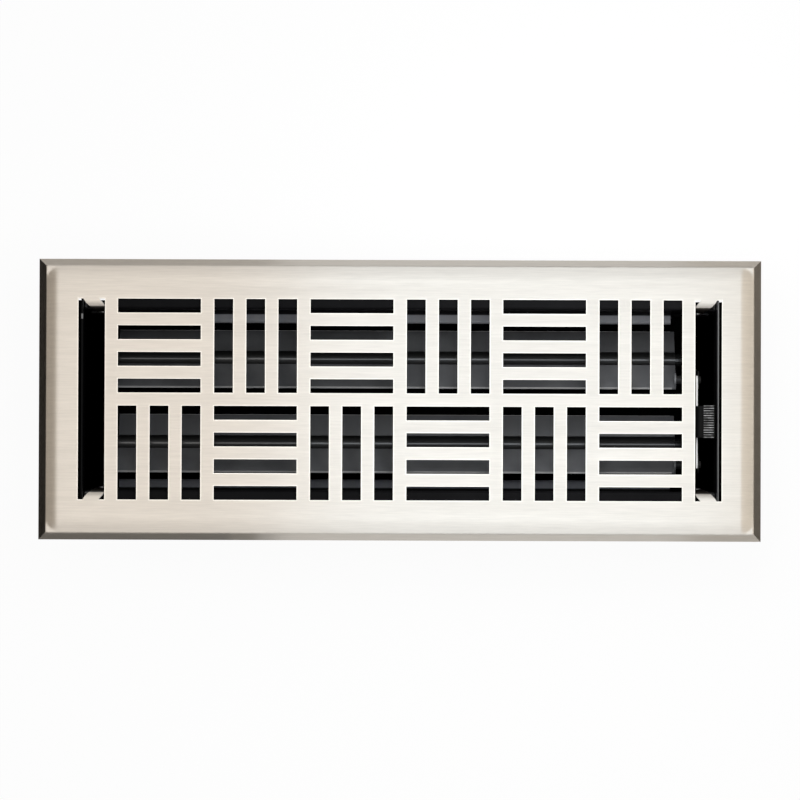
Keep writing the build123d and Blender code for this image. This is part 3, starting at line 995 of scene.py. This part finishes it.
def moulded_plastic():
    """Black moulded plastic with a fine matt grain; the rib crests are lighter, in patches worn grey by
    thumbs and partly a painted highlight.
    """
    material = enamel("grip_plastic", GRIP_PLASTIC)
    tree = material.node_tree
    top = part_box("thumb_grip")[1].z / MM
    limits = (top - GRIP_RIB * RIB_CREST, top + RIB_HEADROOM)
    crests = band_mask(tree, "Z", limits, GRIP_RIB * RIB_CREST_FADE)
    patches = spread(tree, stretched_noise(tree, WEAR_SCALE, WEAR_DETAIL), WEAR_RANGE)
    # Wear and painted highlight on the rib crests
    relook(material, RIB_WEAR_AND_HIGHLIGHT, crests, patches)
    return material


def give(piece, material):
    """Puts one material on a piece."""
    piece.data.materials.clear()
    piece.data.materials.append(material)


def flat_sheet(name, half_x, half_y, place):
    """Level rectangle of the stage."""
    data = bpy.data.meshes.new(name)
    corners = [(-half_x, -half_y, 0), (half_x, -half_y, 0), (half_x, half_y, 0), (-half_x, half_y, 0)]
    data.from_pydata(corners, [], [(0, 1, 2, 3)])
    sheet = add_object(name, data)
    sheet.location = place
    return sheet


def backdrop_white():
    """White paper that the camera and reflections see as white, with part of the object's shadow."""
    material = bpy.data.materials.new("white_paper")
    material.use_nodes = True
    tree = material.node_tree
    tree.nodes.clear()
    rays = tree.nodes.new("ShaderNodeLightPath").outputs
    seen = math_node(tree, "MAXIMUM", rays["Is Camera Ray"], rays["Is Glossy Ray"])
    seen = math_node(tree, "MAXIMUM", seen, rays["Is Transmission Ray"])
    share = map_range(tree, seen, (0.0, 1.0), (0.0, FLOOR_WHITE_SHARE))
    paper = tree.nodes.new("ShaderNodeBsdfDiffuse")
    paper.inputs["Color"].default_value = (*PAPER, 1.0)
    white = tree.nodes.new("ShaderNodeEmission")
    white.inputs["Color"].default_value = (1.0, 1.0, 1.0, 1.0)
    white.inputs["Strength"].default_value = 1.0
    mix = tree.nodes.new("ShaderNodeMixShader")
    output = tree.nodes.new("ShaderNodeOutputMaterial")
    tree.links.new(share, mix.inputs["Fac"])
    tree.links.new(paper.outputs["BSDF"], mix.inputs[1])
    tree.links.new(white.outputs["Emission"], mix.inputs[2])
    tree.links.new(mix.outputs["Shader"], output.inputs["Surface"])
    return material


def duct_painted_shade():
    """Near-black sheet with faint noise: painted shade of the unlit duct's inside."""
    material, tree, shader = new_material("duct_shade_sheet")
    sheet_noise = stretched_noise(tree, SHADE_SHEET_SCALE, SHADE_SHEET_DETAIL)
    stops = [(NOISE_LOW, SHADE_SHEET_DARK), (NOISE_HIGH, SHADE_SHEET_LIGHT)]
    tree.links.new(ramp(tree, sheet_noise, stops), shader.inputs["Base Color"])
    shader.inputs["Roughness"].default_value = 1.0
    shader.inputs["Specular IOR Level"].default_value = 0.0
    return material


def set_floor():
    """White floor, a dark sheet under the box as painted shade of the duct, and strips of it, painted shade
    under the plate's ends, that the end slots look past the box at.
    """
    give(flat_sheet("floor", FLOOR_HALF, FLOOR_HALF, (0, 0, -FLOOR_DROP)), backdrop_white())
    shade_sheet = duct_painted_shade()
    wall_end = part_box("end_wall_right")[1]
    drop = -DUCT_DROP * MM
    give(flat_sheet("duct", wall_end.x, DUCT_HALF_WIDTH * MM, (0, 0, drop)), shade_sheet)
    strip_half = DUCT_END_STRIP / 2 * MM
    strip_x = wall_end.x + DUCT_PAST_END * MM - strip_half
    for side, name in ((-1, "duct_left"), (1, "duct_right")):
        give(flat_sheet(name, strip_half, wall_end.y, (side * strip_x, 0, drop)), shade_sheet)


def reflection_card(name, place, half, turn, shade):
    """Grey card beside the object that only reflections see."""
    card = flat_sheet(name, half[0], half[1], place)
    card.rotation_euler = [math.radians(angle) for angle in turn]
    material, _, shader = new_material(name + "_card")
    shader.inputs["Base Color"].default_value = (*scaled(CARD_TINT, shade), 1.0)
    shader.inputs["Roughness"].default_value = 1.0
    shader.inputs["Specular IOR Level"].default_value = 0.0
    give(card, material)
    card.visible_camera = False
    card.visible_diffuse = False
    card.visible_shadow = False


def set_cards():
    """Cards past both ends, low ones in front of the left half, and level ones on the floor."""
    left = (cad_low.x - END_CARD_GAP, 0, END_CARD_HEIGHT)
    right = (cad_high.x + END_CARD_GAP, 0, END_CARD_HEIGHT)
    reflection_card("card_left", left, END_CARD_HALF, UPRIGHT_END, LEFT_END_SHADE)
    reflection_card("card_right", right, END_CARD_HALF, UPRIGHT_END, RIGHT_END_SHADE)
    for name, start, end, shade in FRONT_CARDS:
        place = ((start + end) / 2, cad_low.y - FRONT_CARD_GAP, FRONT_CARD_HEIGHT)
        half = ((end - start) / 2, FRONT_CARD_HALF_HEIGHT)
        reflection_card(name, place, half, UPRIGHT_FRONT, shade)
    for name, y in (("front", -FLOOR_CARD_Y), ("rear", FLOOR_CARD_Y)):
        left = (LEFT_FLOOR_X, y, FLOOR_CARD_LIFT)
        right = (RIGHT_FLOOR_X, y, FLOOR_CARD_LIFT)
        reflection_card("card_left_" + name, left, LEFT_FLOOR_HALF, LEVEL, LEFT_FLOOR_SHADES[name])
        reflection_card("card_right_" + name, right, RIGHT_FLOOR_HALF, LEVEL, RIGHT_FLOOR_SHADE)


def strip_lamp(name, left, right, radiance, colour):
    """Part of the long lamp above the object, from one x to another."""
    lamp = bpy.data.lights.new(name, "AREA")
    lamp.shape = "RECTANGLE"
    lamp.size = right - left
    lamp.size_y = LAMP_DEPTH
    lamp.energy = radiance * math.pi * lamp.size * lamp.size_y
    lamp.color = colour
    holder = add_object(name, lamp)
    holder.location = ((left + right) / 2, 0, cad_high.z + LAMP_HEIGHT)
    holder.visible_camera = False


def fill_lamp():
    """Soft lamp near the object that lights its painted inside and isn't mirrored in the metal."""
    lamp = bpy.data.lights.new("lamp_fill", "AREA")
    lamp.size = FILL_SIZE
    lamp.energy = FILL_POWER
    holder = add_object("lamp_fill", lamp)
    holder.location = FILL_PLACE
    holder.rotation_euler = (math.atan2(-FILL_PLACE[1], FILL_PLACE[2]), 0, 0)
    holder.visible_camera = False
    holder.visible_glossy = False


def studio_world():
    """Surroundings: white near the horizon, dim overhead."""
    world = bpy.data.worlds.new("studio")
    world.use_nodes = True
    tree = world.node_tree
    place = tree.nodes.new("ShaderNodeTexCoord")
    parts = tree.nodes.new("ShaderNodeSeparateXYZ")
    tree.links.new(place.outputs["Generated"], parts.inputs["Vector"])
    stops = [(0.0, HORIZON), (HORIZON_END, HORIZON), (ZENITH_START, ZENITH)]
    background = tree.nodes["Background"]
    tree.links.new(ramp(tree, parts.outputs["Z"], stops), background.inputs["Color"])
    background.inputs["Strength"].default_value = 1.0
    bpy.context.scene.world = world


def set_camera():
    """Camera almost straight above, framed as the photograph."""
    metres_per_pixel = (cad_high.x - cad_low.x) / FACE_PIXELS
    data = bpy.data.cameras.new("camera")
    data.sensor_width = SENSOR_WIDTH
    data.lens = SENSOR_WIDTH * CAMERA_DISTANCE / (PICTURE_PIXELS * metres_per_pixel)
    data.clip_end = CAMERA_FAR
    camera = add_object("camera", data)
    lean = math.radians(CAMERA_LEAN)
    roll = math.radians(CAMERA_ROLL)
    back = CAMERA_DISTANCE * math.sin(lean)
    camera.location = (
        (PICTURE_PIXELS / 2 - FACE_MIDDLE_PIXEL[0]) * metres_per_pixel + back * math.sin(roll),
        (FACE_MIDDLE_PIXEL[1] - PICTURE_PIXELS / 2) * metres_per_pixel - back * math.cos(roll),
        cad_high.z + CAMERA_DISTANCE * math.cos(lean),
    )
    camera.rotation_euler = (lean, 0, roll)
    bpy.context.scene.camera = camera


# Dressed pieces
nickel = brushed_nickel()
plate_finishes = [nickel, burnished_nickel()]
plate = finished_object("nickel_faceplate", build_faceplate(), EDGE_ROUNDING, EDGE_STEPS, plate_finishes)
brush_map(plate)
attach(plate, "frame")
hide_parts("faceplate")

steel = plated_steel()
rivets = finished_object("domed_tab_rivets", build_tab_rivets(), SMALL_ROUNDING, SMALL_STEPS, [steel])
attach(rivets, "frame")
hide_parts("tab_rivets")

plastic = moulded_plastic()
grip = finished_object("ribbed_grip", build_grip(), SMALL_ROUNDING, SMALL_STEPS, [plastic])
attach(grip, "lever")
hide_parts("thumb_grip")

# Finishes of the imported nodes, by slot and, where a node differs from its slot, by node
slot_finishes = {
    "black_paint": enamel("box_enamel", BOX_PAINT),
    "blade_paint": blade_enamel(),
    "bright_steel": steel,
    "dark_steel": enamel("blackened_steel", DARK_STEEL),
    "grip_plastic": plastic,
    "nickel": nickel,
}
wall_paint = wall_enamel()
rod_paint = enamel("rod_black", ROD_PAINT)
node_finishes = {
    "side_wall_rear": wall_paint,
    "side_wall_front": wall_paint,
    "end_wall_right": right_end_enamel(),
    "end_wall_left": left_end_enamel(),
    "link_bar": link_enamel(),
    "rod_rear": rod_paint,
    "rod_front": rod_paint,
}
for subpart in frame["record"]["subparts"]:
    name = subpart["node"]
    give(nodes[name], node_finishes.get(name, slot_finishes[subpart["material_slot"]]))

# Stage, light and camera
set_floor()
set_cards()
studio_world()
for section in LAMP_SECTIONS:
    strip_lamp(*section)
fill_lamp()
set_camera()
bpy.context.scene.view_settings.view_transform = "Standard"
